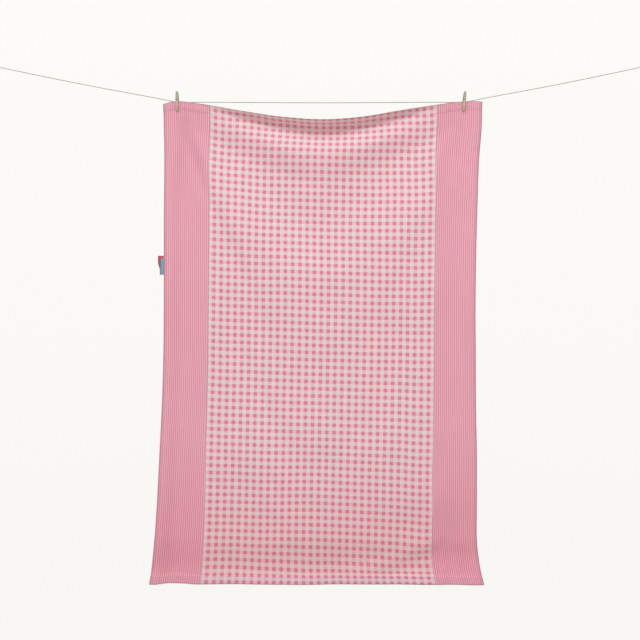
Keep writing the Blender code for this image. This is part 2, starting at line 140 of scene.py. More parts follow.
def asMesh(piece, name):
    # a plain mesh of a piece as its modifiers make it, with its place in the mesh
    bpy.context.view_layer.update()
    made = bpy.data.meshes.new_from_object(piece.evaluated_get(bpy.context.evaluated_depsgraph_get()))
    made.transform(piece.matrix_world)
    bpy.data.objects.remove(piece)
    made.name = name
    return newPiece(name, made)


def followPath(name, points, tree, **sizes):
    # runs a tree along a path, with its inputs set by their sockets' identifiers
    curve = bpy.data.curves.new(name, "CURVE")
    curve.dimensions = "3D"
    spline = curve.splines.new("POLY")
    spline.points.add(len(points) - 1)
    for point, place in zip(spline.points, points):
        point.co = (*place, 1)
    piece = newPiece(name + "Path", curve)
    modifier = piece.modifiers.new(tree.name, "NODES")
    modifier.node_group = tree
    for socket in tree.interface.items_tree:
        if socket.item_type == "SOCKET" and socket.in_out == "INPUT" and socket.name in sizes:
            modifier[socket.identifier] = sizes[socket.name]
    return asMesh(piece, name)


def finishPiece(piece, material, slotName, *nodes, smooth=True):
    # the last steps of every piece: its material, its shading and its place in the frame
    if material is not None:
        piece.data.materials.clear()
        piece.data.materials.append(material)
    if smooth:
        piece.data.polygons.foreach_set("use_smooth", [True] * len(piece.data.polygons))
    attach(piece, "root")
    if nodes:
        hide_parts(*nodes)
    return piece


# The photograph's view: level, square to the cloth
cameraView = {"place": (1.2878, -3.4, -0.9595), "lens": 51.38, "sensor": 36.0}
cameraData = bpy.data.cameras.new("camera")
cameraData.lens = cameraView["lens"]
cameraData.sensor_width = cameraView["sensor"]
camera = newPiece("camera", cameraData)
camera.location = cameraView["place"]
camera.rotation_euler = (math.radians(90), 0, 0)
bpy.context.scene.camera = camera
print("camera placed")


def smoothThrough(known, values, wanted):
    # a smooth curve through the rows of a table, read at the wanted places
    known, values, wanted = np.asarray(known), np.asarray(values), np.asarray(wanted)
    slopes = np.gradient(values, known)
    i = np.clip(np.searchsorted(known, wanted) - 1, 0, len(known) - 2)
    span = known[i + 1] - known[i]
    t = np.clip((wanted - known[i]) / span, 0, 1)
    start, end = 2 * t**3 - 3 * t**2 + 1, 3 * t**2 - 2 * t**3
    leave, arrive = t**3 - 2 * t**2 + t, t**3 - t**2
    return (start * values[i] + leave * span * slopes[i]
            + end * values[i + 1] + arrive * span * slopes[i + 1])


def ramp(low, high, value):
    t = np.clip((value - low) / (high - low), 0, 1)
    return t * t * (3 - 2 * t)


# The line: a cotton cord of three twisted strands, tied in a loop at each end
line = {
    "span": 2.576, "thick": 0.003, "lay": 0.0096, "strands": 3, "strandDepth": 0.13,
    "loopLong": 0.036, "loopWide": 0.024, "loopSteps": 40, "crossing": 0.0018, "endSunk": 0.001,
    "knotLong": 0.016, "knotTurns": 4.3, "turnSteps": 14, "turnGap": 0.00022,
    "firstTurn": 0.0016, "turnsShort": 0.0034,  # where the turns start, and what they leave free
    "leftPeg": -0.5311, "rightPeg": 0.536, "outerSag": 0.003, "middleSag": 0.002, "step": 0.001,
    "strandLight": "#C2C1B2", "strandDeep": "#8A897C", "weathered": "#A2A496",
}
cordSizes = {"Thickness": line["thick"], "LayLength": line["lay"], "Step": line["step"],
             "Strands": line["strands"], "StrandDepth": line["strandDepth"]}


def twistedCordTree(material):
    # sweeps a lobed section along a path and turns it as it goes, like laid strands
    tree, given = newTree("twistedCord", **cordSizes)
    even = addNode(tree, "GeometryNodeResampleCurve",
                   {"Curve": given["Geometry"], "Length": given["Step"]}, mode="LENGTH")
    along = addNode(tree, "GeometryNodeSplineParameter")
    turns = addNode(tree, "ShaderNodeMath",
                    {0: along.outputs["Length"], 1: given["LayLength"]}, operation="DIVIDE")
    tilt = addNode(tree, "ShaderNodeMath", {0: turns, 1: math.tau}, operation="MULTIPLY")
    turned = addNode(tree, "GeometryNodeSetCurveTilt", {"Curve": even, "Tilt": tilt})
    radius = addNode(tree, "ShaderNodeMath", {0: given["Thickness"], 1: 0.5}, operation="MULTIPLY")
    ring = addNode(tree, "GeometryNodeCurvePrimitiveCircle",
                   {"Resolution": 15, "Radius": radius}, mode="RADIUS")
    around = addNode(tree, "GeometryNodeSplineParameter")
    angle = addNode(tree, "ShaderNodeMath", {0: around, 1: math.tau}, operation="MULTIPLY")
    lobes = addNode(tree, "ShaderNodeMath", {0: angle, 1: given["Strands"]}, operation="MULTIPLY")
    wave = addNode(tree, "ShaderNodeMath", {0: lobes}, operation="COSINE")
    crown = addNode(tree, "ShaderNodeMath", {0: wave, 1: 1.0}, operation="SUBTRACT")
    swell = addNode(tree, "ShaderNodeMath",
                    {0: crown, 1: given["StrandDepth"], 2: 1.0}, operation="MULTIPLY_ADD")
    place = addNode(tree, "GeometryNodeInputPosition")
    scaled = addNode(tree, "ShaderNodeVectorMath", {0: place, "Scale": swell}, operation="SCALE")
    section = addNode(tree, "GeometryNodeSetPosition", {"Geometry": ring, "Position": scaled})
    swept = addNode(tree, "GeometryNodeCurveToMesh",
                    {"Curve": turned, "Profile Curve": section, "Fill Caps": True})
    return endTree(tree, swept, material)


def cordMaterial():
    # twisted cotton cord: matt and slightly hairy, greyed by weather between its strands
    made, tree = newMaterial("twistedCottonCord", line["strandLight"], 0.92)
    at = addNode(tree, "ShaderNodeTexCoord").outputs["Object"]
    # fibres about 0.7 mm apart
    fibres = addNode(tree, "ShaderNodeTexNoise",
                     {"Vector": at, "Scale": 1400.0, "Detail": 3.0, "Roughness": 0.6})
    weather = addNode(tree, "ShaderNodeTexNoise", {"Vector": at, "Scale": 14.0, "Detail": 3.0})
    pale = addNode(tree, "ShaderNodeMapRange", {"Value": fibres, "From Min": 0.3, "From Max": 0.7})
    grey = addNode(tree, "ShaderNodeMath", {0: weather, 1: 0.6}, operation="MULTIPLY")
    layers = [(pale, line["strandLight"]), (grey, line["weathered"])]
    return endMaterial(made, line["strandDeep"], layers, (fibres, 0.5, 0.0002))


leftGrip = Vector((clothMid + line["leftPeg"], 0, lineLow))
rightGrip = Vector((clothMid + line["rightPeg"], 0, lineLow))
lineEnd = Vector((line["span"], 0, 0))
# the line's direction away from each loop
falls = leftGrip.normalized()
rises = Vector((clothMid + line["rightPeg"] - line["span"], 0, lineLow)).normalized()


def lineRoute():
    # the line's own points, from knot to knot
    tied = line["loopLong"] + line["knotLong"] + gap
    start, end = falls * tied, lineEnd + rises * tied
    sag, hang = [Vector((0, 0, -line[drop])) for drop in ("outerSag", "middleSag")]
    # close points beside each peg, where the line bends
    route = np.array([
        start, start.lerp(leftGrip, 0.5) + sag, start.lerp(leftGrip, 0.94), leftGrip,
        leftGrip.lerp(rightGrip, 0.05), (leftGrip + rightGrip) / 2 + hang,
        leftGrip.lerp(rightGrip, 0.95), rightGrip, rightGrip.lerp(end, 0.06),
        rightGrip.lerp(end, 0.5) + sag, end,
    ])
    along = np.concatenate([[0], np.cumsum(np.linalg.norm(np.diff(route, axis=0), axis=1))])
    wanted = np.linspace(0, along[-1], 64)
    return np.stack([smoothThrough(along, route[:, i], wanted) for i in range(3)], axis=1)


def loopRoute(corner, way):
    # from the standing line inside the knot, out round the loop, and back in turns round the line
    loop, knot = line["loopLong"], line["knotLong"]
    points = [(loop + knot - line["endSunk"], 0.0, 0.0), (loop + knot * 0.5, 0.0, 0.0),
              (loop + line["endSunk"], 0.0, -gap)]
    for i in range(3, line["loopSteps"]):
        turn = math.pi * (2 * i / line["loopSteps"] - 1)
        out = loop / 2 * (1 - math.cos(turn))
        up = line["loopWide"] / 2 * math.sin(turn) * abs(math.cos(turn / 2)) ** 0.5
        points.append((out, 0.0, up + line["crossing"] * math.sin(turn / 2)))
    turns, radius = line["knotTurns"], line["thick"] + line["turnGap"]
    count = int(turns * line["turnSteps"])
    for i in range(count + 1):
        turn = math.tau * turns * i / count + math.pi / 2
        out = loop + line["firstTurn"] + (knot - line["turnsShort"]) * i / count
        points.append((out, -radius * math.cos(turn), radius * math.sin(turn)))
    across = Vector((0, 1, 0))
    upward = Vector((-way.z, 0, way.x)) * (1 if way.x > 0 else -1)
    return [corner + way * a + across * b + upward * c for a, b, c in points]


cordTree = twistedCordTree(cordMaterial())
leftLoop = followPath("leftLoop", loopRoute(Vector((0, 0, 0)), falls), cordTree, **cordSizes)
rightLoop = followPath("rightLoop", loopRoute(lineEnd, rises), cordTree, **cordSizes)
route = lineRoute()
clothesline = followPath("clothesline", route, cordTree, **cordSizes)
for piece, node in ((leftLoop, "left_loop"), (rightLoop, "right_loop"), (clothesline, "line")):
    finishPiece(piece, None, "cord", node)
print("line, loops and knots tied")


# The cloth as it was woven, cut and hung
cloth = {
    "wide": 1.20, "long": 1.80, "bodyThick": 0.0012, "hemThick": 0.0032, "hemTall": 0.030,
    "stitchAt": 0.027, "pinch": 0.45, "pinchHalf": 0.0012, "edgeRound": 0.0018,
    "steepest": 0.93, "sideBlend": 0.15, "blunt": 0.10, "plateau": 0.35,
    "topForward": 0.024, "leanWide": 0.86, "curlTop": 0.008, "curlLow": 0.004,
    "curlEases": (0.2, 0.5), "curlAcross": (0.95, 1.05),
    "flatWide": 0.018, "flatBelow": 0.004, "flatFade": 0.030, "pegGrip": 0.034,
    "givenBack": (0.06, 0.36),  # how far down the cloth comes forward again below the pegs
    "fineStep": 0.004, "evenRows": 11, "steepestAcross": 0.8,
    "columns": 151, "bodyRows": 220, "bodyFrom": 0.040,
    # rows from an edge in, close by the edge, the stitches and the hem's inner fold
    "hemRows": (0.0, 0.0004, 0.0010, 0.0018, 0.006, 0.012, 0.018, 0.0235, 0.0262, 0.0270, 0.0278,
                0.030, 0.0312, 0.036),
    # the top hem from left to right: along X from the centre line, and how far it hangs
    "topEdge": (
        (-0.584, 0.0055), (-0.555, -0.0005), (-0.531, -0.0026), (-0.447, 0.0060), (-0.300, 0.0330),
        (-0.149, 0.0580), (0.019, 0.0695), (0.149, 0.0598), (0.298, 0.0330), (0.436, 0.0096),
        (0.536, -0.0026), (0.604, -0.0034),
    ),
    # the lower hem from left to right, and its height
    "bottomEdge": (
        (-0.635, -1.9420), (-0.400, -1.9430), (0.000, -1.9455), (0.250, -1.9475),
        (0.420, -1.9470), (0.612, -1.9480),
    ),
    # the side edges from the top down: down, left and right of the centre line
    "sideEdges": (
        (0.00, 0.584, 0.604), (0.10, 0.582, 0.602), (0.19, 0.580, 0.594), (0.38, 0.579, 0.584),
        (0.76, 0.576, 0.573), (0.95, 0.578, 0.574), (1.14, 0.584, 0.575), (1.33, 0.594, 0.579),
        (1.52, 0.606, 0.582), (1.64, 0.616, 0.586), (1.72, 0.626, 0.597), (1.80, 0.635, 0.612),
    ),
}
clothMiddle = -(line["thick"] / 2 + gap + cloth["hemThick"] / 2)  # along Y, at the line
# Each fold: how far down it lies at the centre line, its rise at each side and its bend,
# half its breadth, how far the cloth steps forward on each side, and its strength at the
# centre, where it is whole, where it starts to fade and where it is gone
folds = {
    "hemRoll": (0.028, 0.080, 0.080, 1.5, 0.043, -0.066, -0.066, 1.0, 0.1, 0.45, 1.00),
    "belly": (0.115, 0.127, 0.127, 1.16, 0.070, 0.041, 0.041, 1.0, 0.1, 0.20, 0.92),
    "bellyBack": (0.248, 0.264, 0.264, 1.22, 0.060, -0.022, -0.022, 0.7, 0.3, 0.75, 0.95),
    "swagFront": (0.560, 0.620, 0.600, 1.5, 0.140, 0.036, 0.034, 0.9, 0.3, 0.70, 0.95),
    "leftPleat": (1.140, 1.237, 0.000, 1.12, 0.034, -0.024, 0.000, 0.0, 0.9, 0.95, 1.08),
    "rightPleat": (0.900, 0.000, 1.100, 2.0, 0.034, 0.000, -0.008, 0.2, 0.5, 0.90, 1.05),
    "ridgeBack": (1.315, 1.450, 1.450, 1.7, 0.045, -0.008, -0.005, 1.0, 0.3, 0.45, 0.70),
    "ridge": (1.430, 1.350, 1.350, 1.7, 0.070, 0.008, 0.006, 1.0, 0.3, 0.50, 0.80),
    "leftCrease": (1.700, 0.880, 0.880, 1.33, 0.045, -0.005, 0.000, 0.0, 0.2, 0.55, 0.80),
    "rightCrease": (1.740, 0.000, 1.000, 4.0, 0.030, 0.000, 0.008, 0.0, 0.6, 0.80, 0.95),
    "rightHollow": (1.780, 0.000, 0.290, 2.5, 0.035, 0.000, -0.014, 0.0, 0.6, 0.70, 0.92),
    "sideLean": (0.420, 0.000, 0.000, 2.0, 0.380, 0.034, 0.034, 0.0, 0.9, 1.20, 1.40),
    "leanBack": (1.450, 0.000, 0.000, 2.0, 0.260, -0.022, -0.030, 1.0, 0.1, 1.20, 1.40),
    "rightLean": (1.530, 0.000, 0.000, 2.0, 0.080, 0.000, -0.010, 0.0, 0.7, 1.20, 1.40),
    "rightReturn": (1.715, 0.000, 0.000, 2.0, 0.045, 0.000, 0.010, 0.0, 0.7, 1.20, 1.40),
    "hemDip": (1.680, 0.000, 0.000, 2.0, 0.070, -0.018, -0.024, 1.0, 0.1, 1.20, 1.40),
    "hemKick": (1.784, 0.000, 0.000, 2.0, 0.034, 0.018, 0.018, 1.0, 0.1, 1.20, 1.40),
}


def foldSlope(fold, across, down):
    # how steeply one fold leans, as a sine, at each place on the cloth
    mid, riseLeft, riseRight, bend, halfWide, left, right, centre, grown, fades, gone = fold
    side = ramp(-cloth["sideBlend"], cloth["sideBlend"], across)
    rise = riseLeft + (riseRight - riseLeft) * side
    step = left + (right - left) * side
    out = np.abs(across)
    strength = centre + (1 - centre) * ramp(0.0, grown, out)
    strength = strength * (1 - ramp(fades, gone, out))
    middle = mid - rise * (out**2 + cloth["blunt"]**2) ** (bend / 2)
    fall = rise * bend * out ** (bend - 1) / (cloth["wide"] / 2)
    half = halfWide * np.sqrt(1 + fall**2)
    bump = 1 - ramp(cloth["plateau"], 1.0, np.abs(down - middle) / half)
    return step * strength * bump / (half * (1 + cloth["plateau"]))


def heldFlat(across, down):
    # nought where a peg grips the cloth, rising to 1 around it
    share = np.ones_like(across)
    for pegAt in (line["leftPeg"], line["rightPeg"]):
        edge = cloth["sideEdges"][0][1 if pegAt < 0 else 2]
        beside = np.maximum(np.abs(across * edge - pegAt) - cloth["flatWide"] / 2, 0)
        below = np.maximum(down - cloth["pegGrip"] - cloth["flatBelow"], 0)
        share = share * ramp(0.0, cloth["flatFade"], np.hypot(beside, below))
    return share


def edgeCurl(across, down):
    # how far the side edges curl back
    depth = cloth["curlTop"] + (cloth["curlLow"] - cloth["curlTop"]) * ramp(*cloth["curlEases"], down)
    return 2 * depth * ramp(*cloth["curlAcross"], np.abs(across))


def evened(values, reach):
    # the mean over so many rows above and below each row
    padded = np.pad(values, ((reach + 1, reach), (0, 0)), mode="edge")
    total = np.cumsum(padded, axis=0)
    return (total[2 * reach + 1:] - total[:-2 * reach - 1]) / (2 * reach + 1)


def runningSum(values, step, axis):
    middles = (np.take(values, range(1, values.shape[axis]), axis)
               + np.take(values, range(values.shape[axis] - 1), axis)) / 2
    pad = [(0, 0), (0, 0)]
    pad[axis] = (1, 0)
    return np.pad(np.cumsum(middles * step, axis=axis), pad)


def readBetween(grid, known, wanted, axis):
    # the grid's values at places between its rows or columns
    at = np.interp(wanted, known, np.arange(len(known)))
    low = np.clip(np.floor(at).astype(int), 0, len(known) - 2)
    part = at - low
    part = part[:, None] if axis == 0 else part[None, :]
    return np.take(grid, low, axis) * (1 - part) + np.take(grid, low + 1, axis) * part


# The shallow creases that a washed cloth keeps, and the ranges that each is drawn from
creases = {
    "count": 26, "seed": 7, "turn": 0.5, "upright": 0.35, "across": 0.55, "down": (0.25, 1.65),
    "wide": (0.018, 0.05), "long": (0.12, 0.4), "deep": 0.0011, "grows": (0.10, 0.30),
}


def softCreases(across, down):
    # how far the creases stand back, a millimetre or two at most
    u = across * cloth["wide"] / 2
    dice = np.random.default_rng(creases["seed"])
    depth = np.zeros_like(u)
    for _ in range(creases["count"]):
        angle = dice.uniform(-creases["turn"], creases["turn"])
        angle += math.pi / 2 if dice.random() < creases["upright"] else 0
        x, y = dice.uniform(-creases["across"], creases["across"]), dice.uniform(*creases["down"])
        wide, long = dice.uniform(*creases["wide"]), dice.uniform(*creases["long"])
        a = (u - x) * math.cos(angle) + (down - y) * math.sin(angle)
        b = -(u - x) * math.sin(angle) + (down - y) * math.cos(angle)
        deep = dice.uniform(-creases["deep"], creases["deep"])
        depth += deep * np.exp(-(b / wide) ** 2 - (a / long) ** 2)
    return depth * ramp(*creases["grows"], down)


def clothSurface(across, down):
    # the cloth's middle surface, X, Y and Z by row and column: across runs from -1 to 1
    step = cloth["fineStep"]
    fineDown = np.linspace(0, cloth["long"], round(cloth["long"] / step) + 1)
    fineAcross = np.linspace(-1, 1, round(cloth["wide"] / step) + 1)
    s, v = np.meshgrid(fineAcross, fineDown)
    free = sum(foldSlope(fold, s, v) for fold in folds.values())
    slope = free * heldFlat(s, v)
    # what the pegs hold back comes forward again below them
    givenBack = np.gradient(ramp(*cloth["givenBack"], fineDown), step)[:, None]
    slope = slope + givenBack * ((free - slope).sum(axis=0) * step)[None, :]
    slope = np.clip(slope, -cloth["steepest"], cloth["steepest"])
    lean = 1 - ramp(0.0, cloth["leanWide"], np.abs(fineAcross))
    forward = -clothMiddle + cloth["topForward"] * lean + runningSum(slope, step, 0)
    forward = forward - edgeCurl(s, v)
    downs, lefts, rights = zip(*cloth["sideEdges"])
    left, right = [smoothThrough(downs, ends, fineDown) for ends in (lefts, rights)]
    sideways = np.gradient(forward, step, axis=1)
    run = runningSum(np.sqrt(1 - np.minimum(sideways**2, cloth["steepestAcross"])), step, 1)
    share = evened(run / run[:, -1:], cloth["evenRows"])
    x = -left[:, None] + share * (left + right)[:, None]
    top = lineLow - smoothThrough(*zip(*cloth["topEdge"]), x[0])
    z = top - runningSum(np.sqrt(1 - slope**2), step, 0)
    spare = smoothThrough(*zip(*cloth["bottomEdge"]), x[-1]) - z[-1]
    z = z + spare * (fineDown / cloth["long"])[:, None]
    forward = forward + softCreases(s, v) * heldFlat(s, v)
    grids = (x + clothMid, -forward, z)
    return [readBetween(readBetween(g, fineDown, down, 0), fineAcross, across, 1) for g in grids]


# The weave: checks in the middle, fine stripes in the side borders
weave = {
    "check": 0.027,  # one light and one dark band, both ways
    "firstColumn": 0.589, "firstRow": 0.7175,  # the centres of one light column and row
    "rowSkew": 0.025, "skewAbout": 0.61,  # the weft slants down to the right,
    "skewLess": 0.6, "skewEases": (1.62, 1.80),  # and less by the bottom hem
    "wander": 0.0006, "waver": 0.0004, "sway": 0.0005,  # how far single yarns stray
    "leftBorder": 0.1787, "rightBorder": 1.0265, "stripe": 0.0078,
    "checkEdge": 0.05,  # how softly one band turns into the next, as a share of two bands
    "thread": 0.0009,  # real threads are half this, drawn coarse enough to show near by
    "upperYarn": 0.22,  # how much more the yarn on top shows
    "cordHalf": 0.0012, "cordShare": 0.75, "selvedgeShadeWide": 0.016, "selvedgeShadeShare": 0.45,
    "hemSoft": 0.001, "edgeShadeWide": 0.004, "edgeShadeShare": 0.5, "shadeFrom": 1.2, "shadeTo": 1.75,
    "white": "#DED5D2", "halfTone": "#E6BFC6", "dark": "#D0899A",
    "stripeLight": "#E9B2C0", "stripeDark": "#D192A1", "borderCord": "#B79AA0",
    "selvedgeAndShade": "#B0808B", "hemEdgeShade": "#A0646F", "hemLayersAndShade": "#F5F9F9", "lowShade": "#FBEFF0",
}
# How many millimetres the woven columns stray to the right, from the top of the cloth down, at
# the left, in the middle and at the right, and how many the woven rows stray downwards
columnStray = (
    (0.00, 0, 0, 0), (0.16, 3, 2, 4), (0.34, 1, 4, 11), (0.60, 1, 7, 13), (0.90, -1, 5, 12),
    (1.15, 1, 4, 8), (1.35, 4, 4, 5), (1.50, 6, 5, 6), (1.62, 9, 7, 3), (1.72, 11, 7, -1),
    (1.80, 11, 7, -2),
)
rowStray = (
    (0.00, 0, 0, 0), (0.15, -8, -11, -6), (0.35, -5, -10, 0), (0.57, 1, -7, 4), (0.90, 0, -3, 1),
    (1.30, 2, -3, 2), (1.50, 5, -4, 4), (1.62, 6, 0, 8), (1.69, 8, 9, 16), (1.75, 12, 19, 25),
    (1.77, 12, 14, 15), (1.80, 12, 7, 7),
)


def stray(table, across, down):
    # reads a table of three columns at every corner of the cloth, in metres
    downs, *columns = zip(*table)
    left, middle, right = [np.interp(down, downs, column)[:, None] / 1000 for column in columns]
    out = ramp(0.0, 0.5, np.abs(across))[None, :]
    return middle + np.where(across[None, :] < 0, left - middle, right - middle) * out


def ginghamMaterial():
    # yarn-dyed cotton gingham in plain weave: matt, softly napped from many washes
    # and thin enough to let some warm light through
    made, tree = newMaterial("yarnDyedGingham", weave["halfTone"], 0.88, Sheen_Weight=0.12,
                             Sheen_Roughness=0.5, Specular_IOR_Level=0.25, Subsurface_Weight=0.45,
                             Subsurface_Scale=0.004, Subsurface_Radius=(1.0, 0.25, 0.25))
    place = addNode(tree, "ShaderNodeUVMap", uv_map="clothPlace")
    check = addNode(tree, "ShaderNodeUVMap", uv_map="checkPlace")
    clothU, clothV = addNode(tree, "ShaderNodeSeparateXYZ", {0: place}).outputs[:2]
    checkU, checkV = addNode(tree, "ShaderNodeSeparateXYZ", {0: check}).outputs[:2]

    def bands(value, pitch, centre, soft):
        # 0 in a light band and 1 in a dark one
        from0 = addNode(tree, "ShaderNodeMath", {0: value, 1: centre}, operation="SUBTRACT")
        turns = addNode(tree, "ShaderNodeMath", {0: from0, 1: pitch}, operation="DIVIDE")
        away = addNode(tree, "ShaderNodeMath", {0: turns, 1: 0.5}, operation="PINGPONG")
        return addNode(tree, "ShaderNodeMapRange",
                       {"Value": away, "From Min": 0.25 - soft, "From Max": 0.25 + soft},
                       interpolation_type="SMOOTHSTEP")

    def fromMiddle(value, size):
        # how far a place is from the cloth's middle, either way
        off = addNode(tree, "ShaderNodeMath", {0: value, 1: size / 2}, operation="SUBTRACT")
        return addNode(tree, "ShaderNodeMath", {0: off}, operation="ABSOLUTE")

    warp = bands(checkU, weave["check"], weave["firstColumn"], weave["checkEdge"])
    weft = bands(checkV, weave["check"], weave["firstRow"], weave["checkEdge"])
    # over and under, thread by thread
    waves = []
    for value in (clothU, clothV):
        turn = addNode(tree, "ShaderNodeMath",
                       {0: value, 1: math.pi / weave["thread"]}, operation="MULTIPLY")
        waves.append(addNode(tree, "ShaderNodeMath", {0: turn}, operation="SINE"))
    over = addNode(tree, "ShaderNodeMath", {0: waves[0], 1: waves[1]}, operation="MULTIPLY")
    both = addNode(tree, "ShaderNodeMath", {0: warp, 1: weft}, operation="ADD")
    half = addNode(tree, "ShaderNodeMath", {0: both, 1: 0.5}, operation="MULTIPLY")
    apart = addNode(tree, "ShaderNodeMath", {0: warp, 1: weft}, operation="SUBTRACT")
    lead = addNode(tree, "ShaderNodeMath", {0: apart, 1: over}, operation="MULTIPLY")
    pink = addNode(tree, "ShaderNodeMath",
                   {0: lead, 1: weave["upperYarn"], 2: half}, operation="MULTIPLY_ADD", use_clamp=True)
    tones = addNode(tree, "ShaderNodeValToRGB", {"Fac": pink})
    stops = tones.color_ramp.elements
    stops[0].color, stops[1].color = linearColour(weave["white"]), linearColour(weave["dark"])
    stops.new(0.5).color = linearColour(weave["halfTone"])

    stripes = bands(clothU, weave["stripe"], 0.0, 0.10)
    left, right = weave["leftBorder"], weave["rightBorder"]
    inside = addNode(tree, "ShaderNodeMath",
                     {0: checkU, 1: (right + left) / 2, 2: (right - left) / 2}, operation="COMPARE")

    # the lower hem's three layers look a little deeper, partly painted shade, and a dark line of painted
    # shade runs along both hems' folded edges
    seam = cloth["long"] - cloth["stitchAt"]
    # the lower hem darker: partly its own layers showing through, partly painted shade
    hem = addNode(tree, "ShaderNodeMapRange",
                  {"Value": clothV, "From Min": seam - weave["hemSoft"], "From Max": seam})
    # painted shade: a dark line over the last few millimetres of both hems, for the shade under their folded
    # edges
    fold = addNode(tree, "ShaderNodeMapRange",
                   {"Value": fromMiddle(clothV, cloth["long"]), "To Max": weave["edgeShadeShare"],
                    "From Min": cloth["long"] / 2 - weave["edgeShadeWide"],
                    "From Max": cloth["long"] / 2 - weave["edgeShadeWide"] / 2})
    # painted shade: the cloth a little darker and deeper in colour towards the bottom
    low = addNode(tree, "ShaderNodeMapRange",
                  {"Value": clothV, "From Min": weave["shadeFrom"], "From Max": weave["shadeTo"]},
                  interpolation_type="SMOOTHSTEP")

    # a thin greyish cord where each border meets the checks, and selvedges darker towards each side edge:
    # partly their own firmer weave, partly painted shade where the edges curl back
    cords = []
    for where in (left - weave["cordHalf"], right + weave["cordHalf"]):
        near = addNode(tree, "ShaderNodeMath",
                       {0: checkU, 1: where, 2: weave["cordHalf"]}, operation="COMPARE")
        cords.append(addNode(tree, "ShaderNodeMath",
                             {0: near, 1: weave["cordShare"]}, operation="MULTIPLY"))
    # the selvedge's own deeper tone together with painted shade, growing towards each side edge
    side = addNode(tree, "ShaderNodeMapRange",
                   {"Value": fromMiddle(clothU, cloth["wide"]), "To Max": weave["selvedgeShadeShare"],
                    "From Min": cloth["wide"] / 2 - weave["selvedgeShadeWide"], "From Max": cloth["wide"] / 2},
                   interpolation_type="SMOOTHSTEP")

    # uneven yarns both ways, and slow fading
    yarns = []
    for scale in ((6.0, 900.0, 1.0), (900.0, 6.0, 1.0), (7.0, 7.0, 1.0)):
        drawn = addNode(tree, "ShaderNodeMapping", {"Vector": place, "Scale": scale})
        yarns.append(addNode(tree, "ShaderNodeTexNoise", {"Vector": drawn, "Scale": 1.0, "Detail": 2.0}))
    slubs = addNode(tree, "ShaderNodeMath", {0: yarns[0], 1: yarns[1]}, operation="ADD")
    uneven = addNode(tree, "ShaderNodeMath", {0: slubs, 1: yarns[2]}, operation="ADD")
    bright = addNode(tree, "ShaderNodeMapRange",
                     {"Value": uneven, "From Min": 0.9, "From Max": 2.1, "To Min": 0.96, "To Max": 1.04})
    height = addNode(tree, "ShaderNodeMath", {0: over, 1: 0.35, 2: slubs}, operation="MULTIPLY_ADD")
    layers = [(stripes, weave["stripeDark"]), (inside, tones), (hem, weave["hemLayersAndShade"], "MULTIPLY"),
              (fold, weave["hemEdgeShade"]), (low, weave["lowShade"], "MULTIPLY"),
              *((cord, weave["borderCord"]) for cord in cords), (side, weave["selvedgeAndShade"]),
              (1.0, bright, "MULTIPLY")]
    return endMaterial(made, weave["stripeLight"], layers, (height, 0.35, 0.0004))


def clothRows():
    hem, start = cloth["hemRows"], cloth["bodyFrom"]
    body = np.linspace(start, cloth["long"] - start, cloth["bodyRows"])
    return np.array([*hem, *body, *(cloth["long"] - row for row in reversed(hem))])


def makeCloth(material):
    down = clothRows()
    across = np.linspace(-1, 1, cloth["columns"])
    surface = np.stack(clothSurface(across, down), axis=-1)
    piece, corners, quads = gridPiece("ginghamCloth", surface)

    # where each corner lies on the cloth, and on the slightly slanted weave
    u, v = np.meshgrid((across + 1) * cloth["wide"] / 2, down)
    skew = weave["rowSkew"] * (1 - weave["skewLess"] * ramp(*weave["skewEases"], v))
    wander = weave["wander"] * np.sin(u * 9 + 1) * np.sin(v * 6) + weave["waver"] * np.sin(u * 23 + v * 5)
    checkU = u + weave["sway"] * np.sin(v * 11 + u * 4) - stray(columnStray, across, down)
    checkV = v - skew * (u - weave["skewAbout"]) + wander - stray(rowStray, across, down)
    for name, place in (("clothPlace", (u, v)), ("checkPlace", (checkU, checkV))):
        layer = piece.data.uv_layers.new(name=name)
        flat = np.stack(place, axis=-1).reshape(-1, 2)
        layer.data.foreach_set("uv", flat[quads.ravel()].ravel())

    # thick at the hems, pinched by their stitches, and rounded off at the edge
    group = piece.vertex_groups.new(name="thickness")
    fromEdge = np.minimum(down, cloth["long"] - down)
    inward = np.clip(fromEdge / cloth["edgeRound"], 0, 1)
    rounded = np.sqrt(np.clip(1 - (1 - inward) ** 2, 0.02, 1))
    hem = rounded * (1 - cloth["pinch"] * np.exp(-((fromEdge - cloth["stitchAt"]) / cloth["pinchHalf"]) ** 2))
    weights = np.where(fromEdge <= cloth["hemTall"] + gap, hem, cloth["bodyThick"] / cloth["hemThick"])
    for row, weight in zip(corners.tolist(), weights.tolist()):
        group.add(row, weight, "REPLACE")
    addModifier(piece, "thickness", "SOLIDIFY", thickness=cloth["hemThick"], offset=0,
                vertex_group="thickness")
    return finishPiece(asMesh(piece, "ginghamCloth"), material, "pink_cotton", "tablecloth")


ginghamCloth = makeCloth(ginghamMaterial())
print("cloth hung:", len(ginghamCloth.data.polygons), "faces")


# Hem stitches: a straight lockstitch in pink thread
stitch = {
    "long": 0.0030, "pitch": 0.0040, "thick": 0.0005, "colour": "#DF9CAB", "deep": "#CF8494",
    "across": 0.996, "points": 300, "near": 0.004,
    "rise": 0.56,  # how far out the thread lies, as a share of half the hem
}
stitchSizes = {"StitchPitch": stitch["pitch"], "StitchLength": stitch["long"],
               "ThreadThickness": stitch["thick"]}


def stitchTree(material):
    # lays one short, flattened thread after another along a path
    tree, given = newTree("hemStitches", **stitchSizes)
    points = addNode(tree, "GeometryNodeCurveToPoints",
                     {"Curve": given["Geometry"], "Length": given["StitchPitch"]}, mode="LENGTH")
    ball = addNode(tree, "GeometryNodeMeshIcoSphere", {"Radius": 0.5, "Subdivisions": 1})
    size = addNode(tree, "ShaderNodeCombineXYZ",
                   {0: given["ThreadThickness"], 1: given["ThreadThickness"], 2: given["StitchLength"]})
    thread = addNode(tree, "GeometryNodeTransform", {"Geometry": ball, "Scale": size})
    placed = addNode(tree, "GeometryNodeInstanceOnPoints",
                     {"Points": points, "Instance": thread, "Rotation": points.outputs["Rotation"]})
    return endTree(tree, placed, material)


